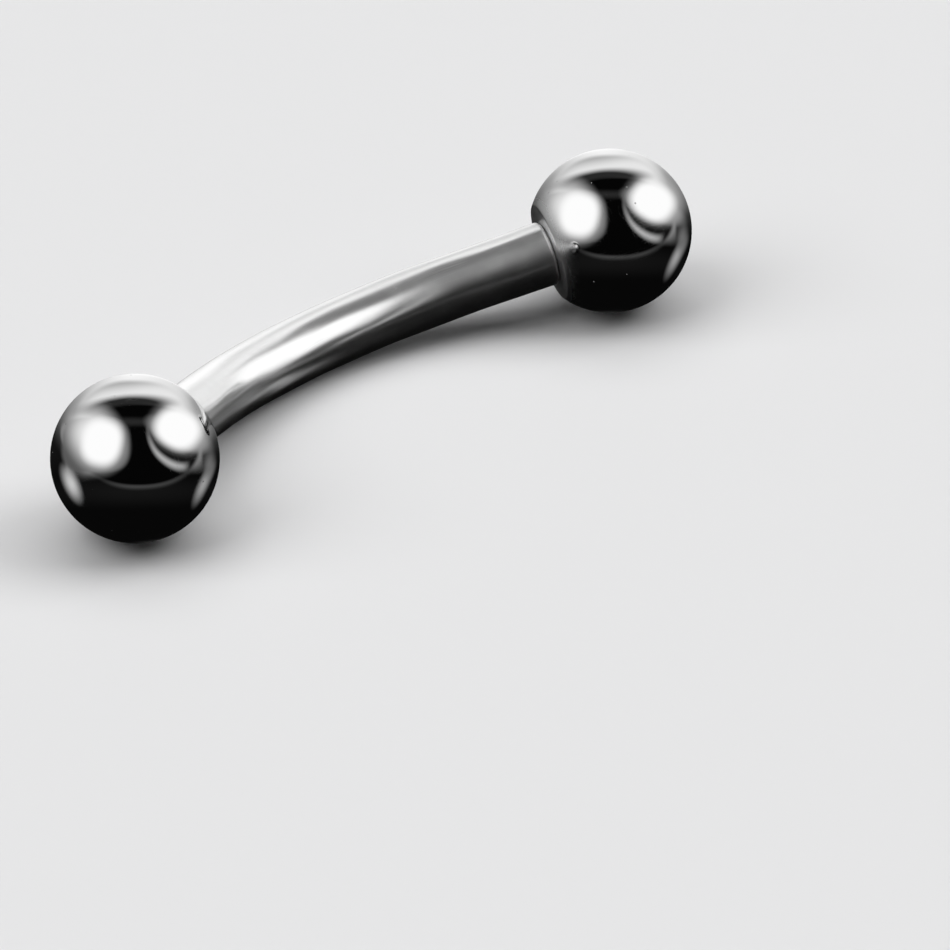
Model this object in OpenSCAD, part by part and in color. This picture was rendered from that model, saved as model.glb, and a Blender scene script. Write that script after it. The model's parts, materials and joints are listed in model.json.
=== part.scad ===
// Eyebrow barbell: a curved bar with a screw-on ball at each end.
// Millimetres, +Z up. It lies as it would by itself, on both balls and on the middle of
// the bend. X runs from ball to ball, +Y is the side that the bend bulges to, and the
// origin is on the surface it lies on, under the middle of its box.

/* [Bar] */
// Thickness of the bar, 16 gauge
bar_d = 1.2; // [1.1:0.1:1.6]
// Length of the bar along its centre line
bar_len = 10.1; // [8:0.1:12]
// Angle between the two ends of the bar
bend_angle = 53.5; // [46:0.5:64]
// Straight stretch at each end, which holds the bore
straight_len = 1.8; // [1.7:0.05:2.2]

/* [Balls] */
// Diameter of each ball
ball_d = 3; // [2.6:0.1:4]
// How far the flat on a ball stands out around the bar
flat_margin = 0.3; // [0.1:0.05:0.3]
// Clearance between the flat of a ball and the end of the bar
seat_gap = 0.01; // [0.01:0.01:0.05]

/* [Post and bore] */
// Outer diameter of the thread on the post
thread_d = 0.86; // [0.8:0.02:0.86]
// Distance from one turn of the thread to the next
thread_pitch = 0.19; // [0.17:0.01:0.2]
// Number of turns on the post
post_turns = 4; // [2:1:4]
// Number of turns in the bore
bore_turns = 5; // [4:1:5]
// Diameter inside the turns of the bore
bore_d = 0.9; // [0.9:0.01:0.94]

/* [Hidden] */
$fn = 96;

bar_r = bar_d / 2;
ball_r = ball_d / 2;
bore_r = bore_d / 2;
post_r = thread_d / 2;

// Depths of the turns on the post and in the bore, and how one pitch is shared out
post_groove = 0.09;
bore_groove = 0.05;
flank_share = 0.3;
flat_share = 0.2;

// The rim: an outer bevel, a thin land that the flat of the ball closes on, and a countersink
rim_bevel = 0.06;
rim_land = 0.015;
sink_angle = 45;
land_r = bar_r - rim_bevel - rim_land;
sink_depth = (land_r - bore_r) * tan(sink_angle);

// The bore ends in a short plain stretch and the cone that the drill left
run_out = 0.05;
drill_half_angle = 59;
bore_depth = sink_depth + bore_turns * thread_pitch + run_out;
drill_tip = bore_r / tan(drill_half_angle);
bore_start = straight_len - bore_depth + run_out;

// Distances from the centre of a ball to its flat and to the end face of the bar
flat_dist = sqrt(ball_r ^ 2 - (bar_r + flat_margin) ^ 2);
seat_dist = flat_dist + seat_gap;

// The post, measured along its axis from the centre of the ball
neck_r = post_r - post_groove / 2;
neck_start = flat_dist / 2;
neck_end = flat_dist + 0.1;
tip_bevel = 0.04;
thread_end = neck_end + post_turns * thread_pitch;

// The bend, in its own plane: ball centres on y = 0, the bulge towards +y
half_angle = bend_angle / 2;
arc_len = bar_len - 2 * straight_len;
bend_r = arc_len / (bend_angle * PI / 180);
ball_reach = straight_len + seat_dist;
bend_centre_y = ball_reach * sin(half_angle) - bend_r * cos(half_angle);
sag = bend_centre_y + bend_r;

// The bend leans until its middle touches the surface that the balls rest on
lean = asin((ball_r - bar_r) / sag);
centre_y = (sag * cos(lean) + bar_r - ball_r) / 2;

// Outline of one ring groove that starts at z, from its first edge to its second
function ring_groove(z, edge_r, floor_r) = [
    [edge_r, z],
    [floor_r, z + thread_pitch * flank_share],
    [floor_r, z + thread_pitch * (flank_share + flat_share)],
    [edge_r, z + thread_pitch * (2 * flank_share + flat_share)]
];

// Half section of the post, from inside the ball to its bevelled tip
function post_outline() = concat(
    [[0, neck_start], [neck_r, neck_start], [neck_r, neck_end]],
    [
        for (turn = [0 : post_turns - 1])
            each ring_groove(neck_end + turn * thread_pitch, post_r, post_r - post_groove)
    ],
    [[post_r, thread_end], [post_r - tip_bevel, thread_end + tip_bevel], [0, thread_end + tip_bevel]]
);

// Half section of a straight end of the bar, with its end face at z = straight_len
function end_outline() = concat(
    [[0, straight_len - bore_depth - drill_tip], [bore_r, straight_len - bore_depth]],
    [
        for (turn = [0 : bore_turns - 1])
            each ring_groove(bore_start + turn * thread_pitch, bore_r, bore_r + bore_groove)
    ],
    [[bore_r, straight_len - sink_depth], [land_r, straight_len]],
    [[bar_r - rim_bevel, straight_len], [bar_r, straight_len - rim_bevel], [bar_r, 0], [0, 0]]
);

// Leans the plane of the bend and sets the barbell down on the surface
module laid_down() {
    translate([0, -centre_y, ball_r])
        rotate([-lean, 0, 0])
            children();
}

// Puts children at one end of the bend, with +Z along the bar and out of it
module at_end(side) {
    translate([0, bend_centre_y, 0])
        rotate([0, 0, -side * half_angle])
            translate([0, bend_r, 0])
                rotate([0, side * 90, 0])
                    children();
}

module bend() {
    translate([0, bend_centre_y, 0])
        rotate([0, 0, 90 - half_angle])
            rotate_extrude(angle = bend_angle)
                translate([bend_r, 0])
                    circle(r = bar_r);
}

module bored_end() {
    rotate_extrude()
        polygon(end_outline());
}

// A ball with its centre at the origin, its flat below and its post pointing down
module ball_with_post() {
    difference() {
        sphere(r = ball_r);
        translate([0, 0, -flat_dist - ball_r])
            cylinder(r = ball_r, h = ball_r);
    }
    mirror([0, 0, 1])
        rotate_extrude()
            polygon(post_outline());
}

module seated_ball(side) {
    laid_down()
        at_end(side)
            translate([0, 0, ball_reach])
                ball_with_post();
}

module curved_bar() {
    color("silver")
        laid_down()
            union() {
                bend();
                for (side = [-1, 1])
                    at_end(side)
                        bored_end();
            }
}

module left_ball() {
    color("gainsboro")
        seated_ball(-1);
}

module right_ball() {
    color("gainsboro")
        seated_ball(1);
}

curved_bar();
left_ball();
right_ball();
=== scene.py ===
# %% [markdown]
# # An eyebrow barbell in polished steel
# The real thing is a curved steel bar, 16 gauge thick, with a steel ball screwed on at each
# end. It is made on a small lathe, bent, and polished until it mirrors the whole room.
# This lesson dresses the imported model: it keeps each piece where the frame holds it, and
# builds the fine shapes, the finish and the studio around it.

import json
from collections import namedtuple
from math import acos, asin, cos, pi, radians, sin, sqrt, tan

import bmesh
import bpy
import numpy as np
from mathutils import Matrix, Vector, noise


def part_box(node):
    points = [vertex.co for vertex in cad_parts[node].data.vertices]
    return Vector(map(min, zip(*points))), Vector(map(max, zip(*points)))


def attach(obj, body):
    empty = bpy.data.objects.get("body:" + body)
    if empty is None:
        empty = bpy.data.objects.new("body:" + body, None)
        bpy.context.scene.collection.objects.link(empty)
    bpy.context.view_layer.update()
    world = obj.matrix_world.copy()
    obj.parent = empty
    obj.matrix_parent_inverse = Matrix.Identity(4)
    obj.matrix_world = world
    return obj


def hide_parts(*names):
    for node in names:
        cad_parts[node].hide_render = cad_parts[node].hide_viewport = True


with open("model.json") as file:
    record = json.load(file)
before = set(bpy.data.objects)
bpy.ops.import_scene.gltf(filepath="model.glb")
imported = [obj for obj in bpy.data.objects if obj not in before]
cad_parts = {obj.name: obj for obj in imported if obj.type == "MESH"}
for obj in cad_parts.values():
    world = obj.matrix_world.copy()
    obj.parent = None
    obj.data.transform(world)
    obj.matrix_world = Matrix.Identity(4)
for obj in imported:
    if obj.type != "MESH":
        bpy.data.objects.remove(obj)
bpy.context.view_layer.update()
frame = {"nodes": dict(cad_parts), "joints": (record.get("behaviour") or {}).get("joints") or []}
print("pieces in the frame:", sorted(frame["nodes"]))

# %% [markdown]
# ## The sizes
# A barbell is ordered by four numbers: thickness, length, ball and bend. The first three
# are named here, in metres. The bend isn't typed in again: the joints of the frame say
# which way each ball comes off, and half of the bend is the angle of that way to X.

# %% Driving sizes
MM = 0.001

bar_r = 0.6 * MM
bar_len = 10.1 * MM
straight_len = 1.8 * MM
ball_r = 1.5 * MM
flat_r = 0.9 * MM
seat_gap = 0.01 * MM
flat_dist = sqrt(ball_r**2 - flat_r**2)
seat_dist = flat_dist + seat_gap

ways_off = {joint["child"]: Vector(joint["axis"]) for joint in frame["joints"]}
way_right = ways_off["right_end"]
half_bend = acos(way_right.x)
print(f"the bend is {2 * half_bend * 180 / pi:.1f} degrees")

# %% [markdown]
# ## The line that the bar follows
# The centre line is straight, then an arc, then straight again. It lies in one leaning
# plane, because the barbell rests on its two balls and on the middle of the bend. One
# function gives the point at any distance from the middle, with the direction along the
# bar and the direction to the outside of the bend. All rings of the bar hang on it.

# %% Centre line
arc_len = bar_len - 2 * straight_len
bend_r = arc_len / (2 * half_bend)
reach = straight_len + seat_dist
to_right = np.array([1.0, 0.0, 0.0])
to_bulge = np.array(Vector((0, -way_right.y, -way_right.z)).normalized())

bend_low = reach * sin(half_bend) - bend_r * cos(half_bend)
sag = bend_low + bend_r
ball_x = bend_r * sin(half_bend) + reach * cos(half_bend)
ball_y = -(sag * to_bulge[1] + bar_r - ball_r) / 2
bend_centre = np.array([0, ball_y, ball_r]) + bend_low * to_bulge


def along_bar(distance):
    """Points, directions along the bar and directions to the bulge, at distances from the middle."""
    turn = np.clip(distance, -arc_len / 2, arc_len / 2) / bend_r
    outward = np.outer(np.sin(turn), to_right) + np.outer(np.cos(turn), to_bulge)
    forward = np.outer(np.cos(turn), to_right) - np.outer(np.sin(turn), to_bulge)
    past_arc = (distance - turn * bend_r)[:, None]
    return bend_centre + bend_r * outward + past_arc * forward, forward, outward


low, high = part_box("right_ball")
print(f"right ball off the frame by {abs(high.x - ball_r - ball_x) / MM:.3f} mm in x")
print(f"and by {abs(low.y + ball_r - ball_y) / MM:.3f} mm in y")

# %% [markdown]
# ## A skin over rings
# Everything on this object is round, so every piece can be a stack of rings with a point
# at each end: the same idea as a lathe, but the rings may follow a bend, and each ring
# may be a little out of round. So threads, bend and polishing waves need no join. The
# skin is closed, so it can be weighed, printed and exported.

# %% Skin helper
AROUND = 144
sharp_edge = radians(32)
angles = np.arange(AROUND) * 2 * pi / AROUND


def skin(name, first_tip, rings, last_tip, place):
    """A closed mesh over rings, an array of ring, point and xyz, with a tip at either end."""
    count = len(rings)
    points = [first_tip, *rings.reshape(-1, 3), last_tip]
    last = len(points) - 1
    faces = []
    for k in range(AROUND):
        beside = (k + 1) % AROUND
        faces.append((0, 1 + beside, 1 + k))
        for ring in range(count - 1):
            here, above = 1 + ring * AROUND, 1 + (ring + 1) * AROUND
            faces.append((here + k, here + beside, above + beside, above + k))
        top = 1 + (count - 1) * AROUND
        faces.append((top + k, top + beside, last))
    mesh = bpy.data.meshes.new(name)
    mesh.from_pydata([tuple(p) for p in points], [], faces)
    mesh.shade_smooth()
    mesh.set_sharp_from_angle(angle=sharp_edge)
    own_place = mesh.attributes.new("own_place", "FLOAT_VECTOR", "POINT")
    own_place.data.foreach_set("vector", np.array(place, np.float32).ravel())
    mesh.validate()
    piece = bpy.data.objects.new(name, mesh)
    bpy.context.scene.collection.objects.link(piece)
    work = bmesh.new()
    work.from_mesh(mesh)
    volume = work.calc_volume(signed=True) / MM**3
    open_edges = sum(not edge.is_manifold for edge in work.edges)
    work.free()
    print(f"{name}: {len(faces)} faces, {volume:.2f} mm3, {open_edges} open edges")
    return piece


# %% [markdown]
# ## The thread
# The post on each ball and the bore in each end of the bar have the same fine right-hand
# thread. On a lathe a pointed tool moves one pitch for each turn. Here the same rule
# gives the radius: how far a point is round the axis decides where along the pitch it
# stands. Post and bore read one function, so the crests of one lie in the other's grooves.

# %% Thread profile
pitch = 0.19 * MM
post_crest = 0.43 * MM
post_root = 0.345 * MM
bore_groove = 0.452 * MM
bore_crest = 0.37 * MM
flat_share = 0.1
flank_share = 0.3


def ease(x):
    """0 below 0, 1 above 1, and a soft step between."""
    x = np.clip(x, 0, 1)
    return x * x * (3 - 2 * x)


def crest_height(z, turn):
    """1 on the crest of the thread and 0 in its groove, at a height and an angle round the axis."""
    share = (z / pitch - turn / (2 * pi) + 0.5) % 1
    from_crest = np.abs(share - 0.5)
    slope = np.clip((flat_share + flank_share - from_crest) / flank_share, 0, 1)
    return 0.5 * slope + 0.5 * ease(slope)


# %% [markdown]
# ## The bored end of the bar
# The maker faces the end, breaks its outer edge with a small bevel, countersinks the hole
# so that the flat of the ball closes on a thin land, then drills and taps it. The drill
# leaves a cone at the bottom. The profile is a list of depths below the end face with a
# radius for each point of the ring, and the two ends use it in mirror image.

# %% End profile
rim_bevel = 0.06 * MM
rim_round = 0.008 * MM
land_r = 0.525 * MM
bore_depth = 1.07 * MM
tap_run_out = 0.08 * MM
drill_half_angle = radians(59)
rings_per_pitch = 18


def bore_radius(depth, turn):
    """The wall of the bore: a countersink of 45 degrees, then the thread, then the plain drill."""
    z = -(seat_dist + depth)
    cut = crest_height(z, turn) * ease((bore_depth - depth) / tap_run_out)
    thread = bore_crest + (bore_groove - bore_crest) * cut
    sink = land_r - depth + 0 * turn
    return np.maximum(thread, sink)


def end_rings(side):
    """Depths and radii from the bottom of the bore to the outer edge of the bevel."""
    turn = side * angles
    steps = int(bore_depth / pitch * rings_per_pitch)
    depths = list(np.linspace(bore_depth, 0, steps + 1))
    radii = [bore_radius(depth, turn) for depth in depths]
    edge = [
        (0, bar_r - rim_bevel - rim_round),
        (0, bar_r - rim_bevel),
        (rim_round / 2, bar_r - rim_bevel + rim_round),
        (rim_bevel - rim_round, bar_r - rim_round / 2),
        (rim_bevel, bar_r),
        (rim_bevel + rim_round, bar_r),
    ]
    for depth, radius in edge:
        depths.append(depth)
        radii.append(np.full(AROUND, radius))
    return np.array(depths), np.array(radii)


# %% [markdown]
# ## Polishing waves
# A bar that is polished by hand on a soft wheel isn't an exact cylinder. Its skin waves
# by about a hundredth of a millimetre, and a mirror shows that: the lights break into
# long wisps. Bump could fake it in one picture, but the wave is a true form of the
# surface, so it goes into the mesh. The wheel takes steel away, so nearly all of the
# waves lie below the true cylinder. They wind slowly round the bar as the hand turns it,
# and they die out at the ends, which are turned.

# %% Waves of the bar
wave_len = 1.5 * MM
wave_across = 0.33 * MM
wave_depth = 0.006 * MM
wave_twist = 0.12 / MM
broad_cells, broad_share = 0.6, 1.3
fine_cells, fine_share = 1.3, 1.4
fine_shift = Vector((7, 3, 5))
wave_sink = 0.9
calm_end = 0.5 * MM
ring_gap = 0.045 * MM


def polish_wave(distance, angle):
    """How far the skin stands off a true cylinder at one place."""
    angle = angle + wave_twist * distance
    side = cos(angle) * bar_r / wave_across
    front = sin(angle) * bar_r / wave_across
    at = Vector((distance / wave_len, side, front))
    broad = noise.noise(at * broad_cells)
    fine = noise.noise(at * fine_cells + fine_shift)
    return wave_depth * (broad_share * broad + fine_share * fine - wave_sink)


def body_rings():
    """Distances from the middle and radii for the outside of the bar, between the bevels."""
    half = bar_len / 2 - rim_bevel - 3 * rim_round
    distances = np.linspace(-half, half, int(2 * half / ring_gap))
    calm = ease((half - np.abs(distances)) / calm_end)
    waves = np.array([[polish_wave(d, a) for a in angles] for d in distances])
    return distances, bar_r + waves * calm[:, None]


# %% [markdown]
# ## The bar
# One skin runs from the bottom of the left bore, out over its rim, along the outside and
# into the right bore. Building the bar and its bores as one surface keeps the thin rims
# clean, where a boolean cut would leave slivers. Each point also stores its place on the
# same bar before it was bent, and the finish is laid along that.
#
# The grain of the polish runs along the bar. The renderer draws it in circles round the
# middle of the mesh's texture space, so this middle is moved far to the inside of the
# bend, where a circle through the middle of the bar nearly follows it.

# %% Build the bar
end_depths, left_radii = end_rings(-1)
right_radii = end_rings(1)[1]
body_distances, body_radii = body_rings()
end_distances = bar_len / 2 - end_depths

bar_distances = np.concatenate([-end_distances, body_distances, end_distances[::-1]])
bar_radii = np.concatenate([left_radii, body_radii, right_radii[::-1]])
drill_tip = bore_crest / tan(drill_half_angle)
tip_distance = bar_len / 2 - bore_depth - drill_tip


def bar_points(distances, radii):
    """Bent and straight places of the rings of the bar."""
    centres, forward, outward = along_bar(distances)
    across = np.cross(forward, outward)
    round_x = (radii * np.cos(angles))[:, :, None]
    round_y = (radii * np.sin(angles))[:, :, None]
    bent = centres[:, None] + round_x * outward[:, None] + round_y * across[:, None]
    straight = np.dstack([np.repeat(distances[:, None], AROUND, 1), round_x[..., 0], round_y[..., 0]])
    return bent, straight


bar_bent, bar_straight = bar_points(bar_distances, bar_radii)
bar_tips = along_bar(np.array([-tip_distance, tip_distance]))[0]
straight_tips = [(-tip_distance, 0, 0), (tip_distance, 0, 0)]
bar_place = np.vstack([straight_tips[0], bar_straight.reshape(-1, 3), straight_tips[1]]) / MM
bar = skin("polished_bar", bar_tips[0], bar_bent, bar_tips[1], bar_place)

grain_circle_r = 12 * MM
bar_middle = along_bar(np.array([0.0]))[0][0]
bar.data.use_auto_texspace = False
bar.data.texspace_location = (0, bar_middle[1] - grain_circle_r, 0)
bar.data.texspace_size = (grain_circle_r, grain_circle_r, grain_circle_r)

# %% [markdown]
# ## A ball with its post
# Ball and post are one piece of steel: the post is turned and threaded, the ball is
# formed around its root with a flat for the bar's end, and the ball is then tumbled to a
# mirror. So it is one skin as well, from the tip of the post through its bevel, the
# thread, a plain neck and the flat, over the softly rounded edge of the flat and the
# ball to the far pole. The tip has the little dimple that the lathe's parting leaves.

# %% Post and ball profile
thread_start = 1.36 * MM
thread_end = 2.06 * MM
neck_r = 0.41 * MM
tip_bevel = 0.04 * MM
tip_dimple = 0.02 * MM
dimple_r = 0.12 * MM
fillet = 0.02 * MM
fillet_turns = (0.4, 0.8, 1.2)
flat_end = 0.93 * flat_r
flat_rings = 7
flat_edge = 0.05 * MM
edge_rings = 8
ball_rings = 110


def post_rings(turn):
    """Heights on the ball's axis and radii, from the middle of the post's tip to its root."""
    tip = -(thread_end + tip_bevel)
    tip_r = post_crest - tip_bevel
    rings = [
        (tip + tip_dimple * 0.6, dimple_r / 2),
        (tip, dimple_r),
        (tip, tip_r - rim_round),
        (tip, tip_r),
    ]
    heights = [z for z, r in rings]
    radii = [np.full(AROUND, r) for z, r in rings]
    root = flat_dist + fillet
    steps = int((thread_end + tip_bevel - root) / pitch * rings_per_pitch)
    for z in np.linspace(tip + rim_round / 2, -root, steps):
        threaded = ease((-thread_start - z) / (0.5 * pitch))
        thread = post_root + (post_crest - post_root) * crest_height(z, turn)
        heights.append(z)
        radii.append(np.minimum(neck_r + (thread - neck_r) * threaded, tip_r + z - tip))
    return heights, radii


def ball_profile():
    """All rings of a ball with its post, as heights and radii."""
    heights, radii = post_rings(angles)
    rings = []
    for a in fillet_turns:
        rings.append((-flat_dist - fillet * (1 - sin(a)), neck_r + fillet * (1 - cos(a))))
    rings += [(-flat_dist, r) for r in np.linspace(neck_r + fillet, flat_end, flat_rings)]
    edge_r = sqrt((ball_r - flat_edge) ** 2 - (flat_dist - flat_edge) ** 2)
    edge_turn = asin(edge_r / (ball_r - flat_edge))
    for a in np.linspace(0, edge_turn, edge_rings)[:-1]:
        rings.append((-(flat_dist - flat_edge) - flat_edge * cos(a), edge_r + flat_edge * sin(a)))
    for polar in np.linspace(edge_turn, pi, ball_rings + 1)[:-1]:
        rings.append((-ball_r * cos(polar), ball_r * sin(polar)))
    heights += [z for z, r in rings]
    radii += [np.full(AROUND, r) for z, r in rings]
    return np.array(heights), np.array(radii)


# %% [markdown]
# The ball's own axis comes from the centre line of the bar, so the thread of the post
# meets the thread of its bore at the same angle. Seen from the ball, the left end runs
# the other way round, which is why one of its side directions changes sign.


# %% Build the balls
def screwed_ball(name, side):
    """A ball with its post, seated on the left (-1) or right (1) end of the bar."""
    centre, forward, outward = (a[0] for a in along_bar(np.array([side * (bar_len / 2 + seat_dist)])))
    axis = side * forward
    across = np.cross(axis, outward)
    heights, radii = ball_profile()
    up_axis = np.repeat(heights[:, None], AROUND, 1)
    own = np.dstack([radii * np.cos(angles), radii * np.sin(angles), up_axis])
    frame_of_ball = np.array([outward, across, axis])
    rings = centre + own @ frame_of_ball
    tips = np.array([[0, 0, -(thread_end + tip_bevel) + tip_dimple], [0, 0, ball_r]])
    ends = centre + tips @ frame_of_ball
    place = np.vstack([tips[0], own.reshape(-1, 3), tips[1]]) / MM
    return skin(name, ends[0], rings, ends[1], place)


balls = {
    "left": screwed_ball("left_mirror_ball", -1),
    "right": screwed_ball("right_mirror_ball", 1),
}

# %% [markdown]
# ## Writing shaders as sums
# A finish is a small calculation on every point of the surface. Nodes can be placed by
# hand, but a sum is easier to read as a sum, so a Wire stands for one output of a node
# and arithmetic on it adds Math nodes. Any other node comes from its node() method.


# %% Shader wires
class Wire:
    """An output of a shader node. Arithmetic on wires and numbers adds Math nodes."""

    def __init__(self, tree, socket=None):
        self.tree = tree
        self.socket = socket

    def node(self, kind, settings=(), inputs=(), out=0):
        """Adds a node: first its settings, then the values or wires of its inputs."""
        made = self.tree.nodes.new("ShaderNode" + kind)
        for name, value in dict(settings).items():
            setattr(made, name, value)
        for name, value in dict(inputs).items():
            if isinstance(value, Wire):
                self.tree.links.new(value.socket, made.inputs[name])
            else:
                made.inputs[name].default_value = value
        return Wire(self.tree, made.outputs[out] if made.outputs else None)

    def output(self, name):
        """Another output of the same node."""
        return Wire(self.tree, self.socket.node.outputs[name])

    def math(self, operation, first, second=0.0):
        return self.node("Math", {"operation": operation}, {0: first, 1: second})

    def __add__(self, other):
        return self.math("ADD", self, other)

    def __sub__(self, other):
        return self.math("SUBTRACT", self, other)

    def __rsub__(self, other):
        return self.math("SUBTRACT", other, self)

    def __mul__(self, other):
        return self.math("MULTIPLY", self, other)

    def __truediv__(self, other):
        return self.math("DIVIDE", self, other)

    def __pow__(self, other):
        return self.math("POWER", self, other)

    def __abs__(self):
        return self.math("ABSOLUTE", self)

    __radd__ = __add__
    __rmul__ = __mul__

    def step(self, start, end):
        """A soft step from 0 at start to 1 at end. End may be the lower one."""
        flip = end < start
        low, high = sorted((start, end))
        values = {"Value": self, "From Min": low, "From Max": high}
        values |= {"To Min": float(flip), "To Max": float(not flip)}
        return self.node("MapRange", {"interpolation_type": "SMOOTHSTEP"}, values)

    def dot(self, vector):
        return self.node("VectorMath", {"operation": "DOT_PRODUCT"}, {0: self, 1: vector}, "Value")


def new_material(name):
    """An empty material and a wire to start from."""
    material = bpy.data.materials.new(name)
    material.use_nodes = True
    material.node_tree.nodes.clear()
    return material, Wire(material.node_tree)


def surface_of(start, inputs):
    """Ends a material in one Principled shader."""
    shader = start.node("BsdfPrincipled", {}, inputs)
    start.node("OutputMaterial", {}, {"Surface": shader})


# %% [markdown]
# ## The marks of polishing
# Even a mirror has marks when the whole thing is about as long as a fingernail: hairlines
# from the wheel, a few pits that the wheel didn't reach, and a film that dulls the
# shine in clouds. Each is a mask from 0 to 1, measured in millimetres on the piece
# itself, so that it keeps its scale and stays in place when the piece moves. Noise that
# is drawn out along one axis gives lines only where that axis lies in the surface, so
# on a ball each set of lines fades towards the two ends of its axis.


# %% Masks of wear
cloud_shift = 11.0
smallest_pit = 0.3
pit_floor = 0.6


def stored_place(start):
    return start.node("Attribute", {"attribute_name": "own_place"}, out="Vector")


def stretched(place, grain, shift=0.0, detail=2.0):
    """Noise from 0 to 1 with its cells per mm on each axis. Few cells draw it out."""
    shifts = (shift, shift, shift)
    cells = place.node("VectorMath", {"operation": "MULTIPLY_ADD"}, {0: place, 1: grain, 2: shifts})
    texture = {"Vector": cells, "Scale": 1.0, "Detail": detail, "Roughness": 0.5}
    return place.node("TexNoise", {}, texture)


def hairlines(place, grain, width, shift):
    """Thin lines where drawn-out noise passes its middle value."""
    return abs(stretched(place, grain, shift, 0.0) - 0.5).step(width, 0.0)


def clouds(place, cells, low, high):
    """Soft patches, cells per mm, that begin at low and are full at high."""
    return stretched(place, (cells, cells, cells), cloud_shift).step(low, high)


def pits(place, cells, share, size):
    """Small round marks in a share of the cells, with a radius of about size cells."""
    spot = place.node("TexVoronoi", {"feature": "F1"}, {"Vector": place, "Scale": cells}, "Distance")
    draw = place.node("SeparateColor", {}, {"Color": spot.output("Color")}, "Red")
    chosen = draw.step(share, share - 0.01)
    return (spot / (draw / share + smallest_pit)).step(size, size * pit_floor) * chosen


def metal_of(start, pitted, depth, grey, pit_grey):
    """The inputs that all metals here share: a grey with darker pits, and the bump."""
    normal = start.node("Bump", {}, {"Height": depth, "Distance": MM, "Strength": 1.0})
    # Sockets 6 and 7 of a Mix node are its two colours, and output 2 is the mixed one
    ends = {0: pitted, 6: (grey, grey, grey, 1), 7: (pit_grey, pit_grey, pit_grey, 1)}
    colour = start.node("Mix", {"data_type": "RGBA"}, ends, out=2)
    return {"Base Color": colour, "Metallic": 1.0, "Normal": normal}


# %% [markdown]
# ## Ball steel
# The balls are tumbled in steel shot until nothing but the mirror is left. Polished
# steel is a metal of about seven tenths reflectance and almost no roughness. The film
# and the hairlines raise the roughness a little, and the pits are dark, small and
# shallow. The shot can't work close to the flat, so the gleam is softer there, and the
# post isn't tumbled at all: it keeps the finer gleam that the threading tool leaves.

# %% Steel of the balls
ball_grey, ball_pit_grey = 0.70, 0.45
ball_polish = 0.022
seat_shade = 0.35

ball_material, start = new_material("ball_steel")
place = stored_place(start)
height_on_axis = place.dot((0, 0, 1))
off_axis = place.node("VectorMath", {"operation": "MULTIPLY"}, {0: place, 1: (1, 1, 0)})
from_axis = place.node("VectorMath", {"operation": "LENGTH"}, {0: off_axis}, "Value")
flat_height = -flat_dist / MM
on_flat = height_on_axis.step(flat_height + 0.012, flat_height + 0.002)
from_post = on_flat * from_axis.step(0.45, 0.43)
by_seat = height_on_axis.step(flat_height + seat_shade, flat_height + 0.03) * (1 - from_post)

film = clouds(place, 1.1, 0.5, 0.75)
along_x = hairlines(place, (0.5, 9, 9), 0.010, 0.0) * abs(place.dot((1, 0, 0))).step(1.0, 0.5)
along_y = hairlines(place, (8, 0.4, 8), 0.008, 5.0) * abs(place.dot((0, 1, 0))).step(1.0, 0.5)
along_z = hairlines(place, (10, 10, 0.5), 0.008, 9.0) * abs(height_on_axis).step(1.0, 0.5)
scratched = (along_x + along_y + along_z) * clouds(place, 0.8, 0.35, 0.6)
pitted = pits(place, 5.0, 0.35, 0.08)
tool_lines = stretched(place, (2, 2, 90))

roughness = ball_polish + 0.04 * film + 0.06 * scratched + 0.04 * on_flat + 0.26 * by_seat
roughness = roughness + 0.12 * from_post + 0.25 * pitted
depth = -0.00012 * scratched - 0.0060 * pitted + 0.0016 * tool_lines * from_post
steel = metal_of(start, pitted, depth, ball_grey, ball_pit_grey)
surface_of(start, {**steel, "Roughness": roughness})

# %% [markdown]
# ## Bar steel
# The bar is drawn through a die, bent, and then polished along its length. The wheel
# leaves a grain too fine to see as lines, but it smears every light along the bar. So
# the finish is two metals in one: a mirror almost as sharp as the balls, and a haze
# that is wide along the bar and narrow across it. A Mix Shader shares the light between
# them, and the film and the hairlines move that share a little. A haze spreads the
# lamps thinly. The grey is set much paler than on the balls, and that is painted light:
# the same steel is made brighter so that the bar's bands of light come out bright. The
# masks are laid on the straight bar that each point remembers, which bends every line
# with the metal.

# %% Steel of the bar
# Painted light: the bar's grey is paler than the same steel on the balls, so the bar looks more
# brightly lit.
bar_grey_with_painted_light, bar_pit_grey = 0.98, 0.25
bar_polish, bar_draw = 0.18, 0.3
haze_spread, haze_draw, haze_share = 0.6, 0.87, 0.36
bore_edge = land_r / MM

bar_material, start = new_material("bar_steel")
place = stored_place(start)
off_axis = place.node("VectorMath", {"operation": "MULTIPLY"}, {0: place, 1: (0, 1, 1)})
from_axis = place.node("VectorMath", {"operation": "LENGTH"}, {0: off_axis}, "Value")
in_bore = from_axis.step(bore_edge + 0.004, bore_edge - 0.006)

film = clouds(place, 1.4, 0.45, 0.7)
drawn = hairlines(place, (0.2, 12, 12), 0.02, 0.0)
rubbed = hairlines(place, (0.5, 8, 8), 0.012, 6.0)
scratched = drawn * clouds(place, 0.9, 0.4, 0.7) + 0.7 * rubbed * clouds(place, 1.4, 0.45, 0.75)
pitted = pits(place, 5.0, 0.2, 0.06)
tool_lines = stretched(place, (60, 2, 2))

depth = -0.00005 * scratched - 0.0015 * pitted + 0.0012 * tool_lines * in_bore
steel = metal_of(start, pitted, depth, bar_grey_with_painted_light, bar_pit_grey)
gleam = bar_polish + 0.05 * film + 0.05 * scratched + 0.05 * in_bore + 0.25 * pitted
mirror = start.node("BsdfPrincipled", {}, {**steel, "Roughness": gleam, "Anisotropic": bar_draw})
haze = start.node("BsdfPrincipled", {}, {**steel, "Roughness": haze_spread, "Anisotropic": haze_draw})
hazy = haze_share + 0.06 * film + 0.1 * scratched
both = start.node("MixShader", {}, {0: hazy, 1: mirror, 2: haze})
start.node("OutputMaterial", {}, {"Surface": both})

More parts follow.
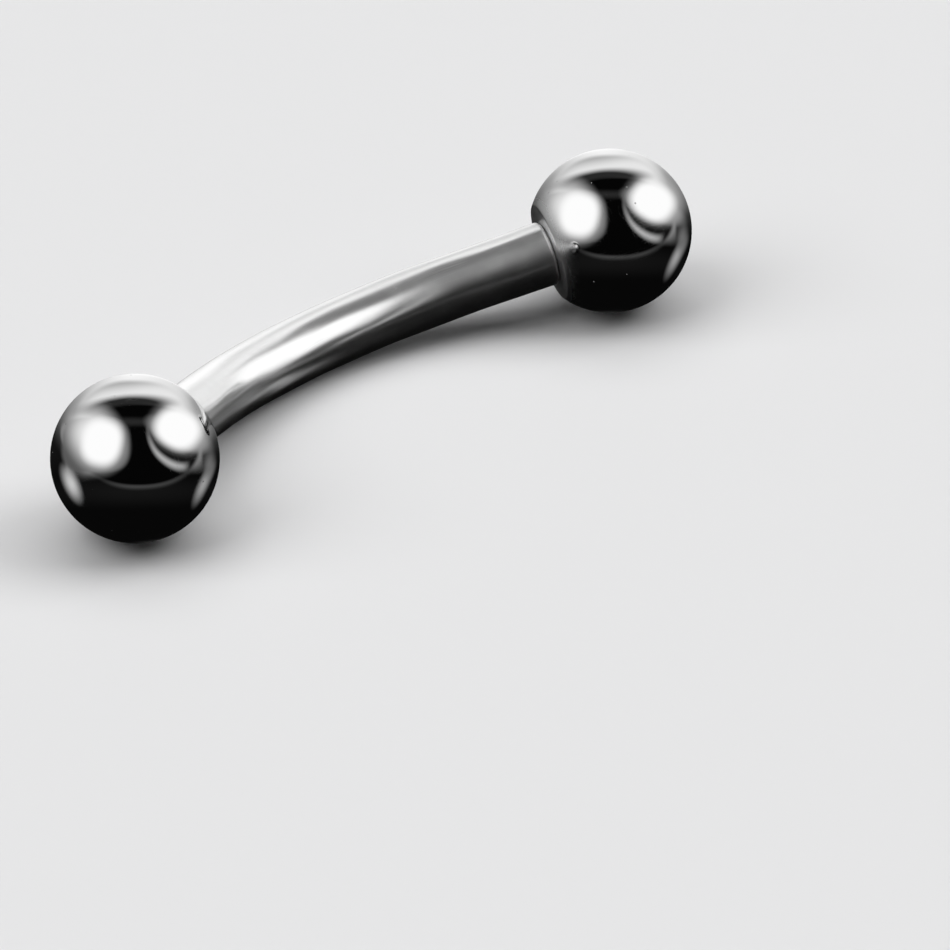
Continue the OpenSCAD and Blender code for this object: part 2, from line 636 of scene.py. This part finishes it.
# %% [markdown]
# ## Fastening the pieces to the frame
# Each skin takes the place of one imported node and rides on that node's body, so when a
# ball is drawn off, its post goes with it and the bar stays.

# %% Ride and replace
fastenings = [
    (bar, "bar", "curved_bar", "bar_steel", bar_material),
    (balls["left"], "left_end", "left_ball", "ball_steel", ball_material),
    (balls["right"], "right_end", "right_ball", "ball_steel", ball_material),
]
for piece, body, node, slot, material in fastenings:
    piece.data.materials.append(material)
    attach(piece, body)
    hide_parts(node)
    print(f"{piece.name} rides on {body} in place of {node}")

# %% [markdown]
# ## What the steel mirrors
# A mirror has no look of its own: it shows the studio. A maker of jewellery pictures
# hangs large soft boxes on both sides, a pale wall behind, and keeps the camera side
# black, so that each ball has two soft white shapes with a black gap between them.
# A mirror ball shows the whole studio at once, and so the lamps are laid out on one:
# across and up are places on the ball's disc as the camera sees it, from -1 to 1. The
# tilt is in degrees, and both half sizes are measured on the disc. A corner of 2 is an
# oval and 4 is nearly a box, and soft is the share of the size that the edge fades over.
# Later lamps cover earlier ones. A lamp with almost no light is a black screen.

# %% Ways from the barbell
camera_turn = radians(43.3)
camera_height = radians(31.52)
camera_side = Vector((-sin(camera_turn), -cos(camera_turn), 0))
camera_left = Vector((-cos(camera_turn), sin(camera_turn), 0))


def towards(turn, height):
    """A way from the barbell: turn 0 is to the camera, and positive turns go to its left."""
    level_way = cos(radians(turn)) * camera_side + sin(radians(turn)) * camera_left
    return cos(radians(height)) * level_way + Vector((0, 0, sin(radians(height))))


to_camera = towards(0, camera_height * 180 / pi)
disc_across = -camera_left
disc_up = to_camera.cross(disc_across)

# %% Lamps of the studio
Lamp = namedtuple("Lamp", "across up tilt half_wide half_tall corner soft level")
studio = {
    "back wall lamp": Lamp(-0.01, 0.74, 20, 0.58, 0.78, 1.6, 0.95, 1.25),
    "wall seam": Lamp(0, -0.15, 0, 0.8, 1.06, 2.5, 0.03, 0.4),
    "pale wall": Lamp(0.08, -0.15, 8, 0.68, 1.02, 4, 0.1, 1.12),
    "table": Lamp(0.2, -0.59, 3, 1.8, 0.56, 3.6, 0.35, 0.003),
    "table sheen": Lamp(0, -0.38, 0, 0.8, 0.13, 2, 0.9, 0.01),
    "left glow": Lamp(-0.74, -0.29, 24, 0.06, 0.15, 2, 1, 0.8),
    "right glow": Lamp(0.81, -0.31, -25, 0.04, 0.18, 2, 1, 0.45),
    "left seam": Lamp(-0.8, 0.24, 15, 0.06, 0.15, 1.8, 0.3, 0.3),
    "right seam": Lamp(0.88, -0.08, -7, 0.05, 0.13, 1.8, 0.95, 0.2),
    "ceiling": Lamp(-0.11, 0.59, 6, 0.54, 0.14, 1.8, 0.3, 0.03),
    "table edge": Lamp(0.1, 0.14, 3, 0.62, 0.47, 2.3, 0.12, 0.16),
    "camera side": Lamp(0.06, 0.16, 0, 0.71, 0.48, 2.2, 0.05, 0.002),
    "neck": Lamp(-0.06, 0.43, 0, 0.43, 0.04, 1.8, 0.95, 0.03),
    "strip lamp": Lamp(0.4, 0.14, -53, 0.32, 0.17, 1.8, 0.2, 0.6),
    "black screen": Lamp(0.44, 0.26, -51, 0.39, 0.23, 1.8, 0.15, 0.012),
    "right box cloth": Lamp(0.52, 0.29, -24, 0.38, 0.15, 2, 0.25, 0.3),
    "right box glow": Lamp(0.55, 0.37, -25, 0.25, 0.21, 2.1, 0.75, 0.9),
    "right box lamp": Lamp(0.51, 0.35, -31, 0.26, 0.22, 2.3, 0.3, 1.4),
    "left box cloth": Lamp(-0.45, 0.16, 0, 0.4, 0.32, 3.2, 0.08, 0.14),
    "left box glow": Lamp(-0.45, 0.24, 32, 0.24, 0.3, 2.2, 0.7, 1.25),
    "left box lamp": Lamp(-0.37, 0.19, -14, 0.22, 0.26, 2.5, 0.3, 1.4),
}
dark_room = 0.008

# %% Paint the sky


def lamp_mask(across, up, lamp):
    """How far a place on the disc lies inside a lamp: 1 in the middle, soft at the edge."""
    lean = radians(lamp.tilt)
    aside, above = across - lamp.across, up - lamp.up
    along_width = abs(aside * cos(lean) + above * sin(lean)) / lamp.half_wide
    along_height = abs(above * cos(lean) - aside * sin(lean)) / lamp.half_tall
    from_middle = (along_width**lamp.corner + along_height**lamp.corner) ** (1 / lamp.corner)
    return from_middle.step(1 + lamp.soft, 1 - lamp.soft)


world = bpy.data.worlds.new("studio_sky")
bpy.context.scene.world = world
world.use_nodes = True
world.node_tree.nodes.clear()
start = Wire(world.node_tree)
sky = start.node("TexCoord", out="Generated")
between = start.node("VectorMath", {"operation": "ADD"}, {0: sky, 1: to_camera})
facing = start.node("VectorMath", {"operation": "NORMALIZE"}, {0: between})
across, up = facing.dot(disc_across), facing.dot(disc_up)
light = start.node("Value")
light.socket.default_value = dark_room
# Sockets 2 and 3 of a Mix node are its two numbers
for lamp in studio.values():
    light = light.node("Mix", {}, {0: lamp_mask(across, up, lamp), 2: light, 3: lamp.level})
background = start.node("Background", {}, {"Color": light, "Strength": 1.0})
start.node("OutputWorld", {}, {"Surface": background})
world.cycles_visibility.diffuse = False
world.cycles.sampling_method = "NONE"
print(len(studio), "lamps on the sky, with", len(world.node_tree.nodes), "nodes")

# %% [markdown]
# ## The floor and its light
# The barbell lies on a plain pale floor that curves up into a wall, so no horizon shows
# from any side. The floor has lights of its own: three large soft panels that the steel
# doesn't mirror, so floor and steel can be lit one by one, as with flags in a studio.

# %% Floor
floor_flat_r = 1.2
floor_bend_r = 0.5
floor_wall = 0.6
floor_sides = 96
floor_ring_shares = (0.02, 0.2, 0.6)
cove_rings = 13


def studio_floor():
    """A round floor with a cove, as one open skin."""
    bend = np.linspace(0, pi / 2, cove_rings)
    profile = [(floor_flat_r * share, 0) for share in floor_ring_shares]
    profile += [(floor_flat_r + floor_bend_r * sin(b), floor_bend_r * (1 - cos(b))) for b in bend]
    profile.append((floor_flat_r + floor_bend_r, floor_bend_r + floor_wall))
    points = [(0, 0, 0)]
    for r, z in profile:
        points += [(r * cos(a), r * sin(a), z) for a in np.arange(floor_sides) * 2 * pi / floor_sides]
    faces = []
    for k in range(floor_sides):
        beside = (k + 1) % floor_sides
        faces.append((0, 1 + k, 1 + beside))
        for ring in range(len(profile) - 1):
            here, above = 1 + ring * floor_sides, 1 + (ring + 1) * floor_sides
            faces.append((here + k, above + k, above + beside, here + beside))
    mesh = bpy.data.meshes.new("floor")
    mesh.from_pydata(points, [], faces)
    mesh.shade_smooth()
    floor = bpy.data.objects.new("floor", mesh)
    bpy.context.scene.collection.objects.link(floor)
    return floor


floor = studio_floor()
floor_material, start = new_material("floor_card")
card_grey = (0.72, 0.72, 0.725, 1)
surface_of(start, {"Base Color": card_grey, "Roughness": 0.6, "Specular IOR Level": 0.2})
floor.data.materials.append(floor_material)
floor.visible_glossy = False

# %% Soft panels for the floor
Panel = namedtuple("Panel", "turn height distance size watts")
panels = {
    "panel_left": Panel(70, 48, 0.5, 0.40, 1.5),
    "panel_right": Panel(-100, 45, 0.5, 0.32, 1.2),
    "panel_above": Panel(180, 75, 0.6, 0.60, 2.0),
}
for name, panel in panels.items():
    light = bpy.data.lights.new(name, "AREA")
    light.size = panel.size
    light.energy = panel.watts
    lamp = bpy.data.objects.new(name, light)
    way = towards(panel.turn, panel.height)
    lamp.location = way * panel.distance
    lamp.rotation_euler = way.to_track_quat("Z", "Y").to_euler()
    lamp.visible_glossy = False
    bpy.context.scene.collection.objects.link(lamp)

# %% [markdown]
# ## The camera
# The picture was taken with a long lens from close by, a good 30 degrees above the table.
# The outlines of the balls give the distance and the height, and the line from ball to
# ball gives the turn. Depth of field stays off, so every angle shows the piece sharp.

# %% Camera
camera_distance = 197.5 * MM
aim = Vector((-0.154, -3.244, 0)) * MM
sensor = 36.0
image_width_px = 950
focal_px = 11045
near_clip = 10 * MM

camera_data = bpy.data.cameras.new("camera")
camera_data.sensor_width = sensor
camera_data.lens = sensor * focal_px / image_width_px
camera_data.clip_start = near_clip
camera = bpy.data.objects.new("camera", camera_data)
camera.location = aim + to_camera * camera_distance
camera.rotation_euler = to_camera.to_track_quat("Z", "Y").to_euler()
bpy.context.scene.collection.objects.link(camera)
bpy.context.scene.camera = camera
bpy.context.scene.view_settings.view_transform = "Standard"
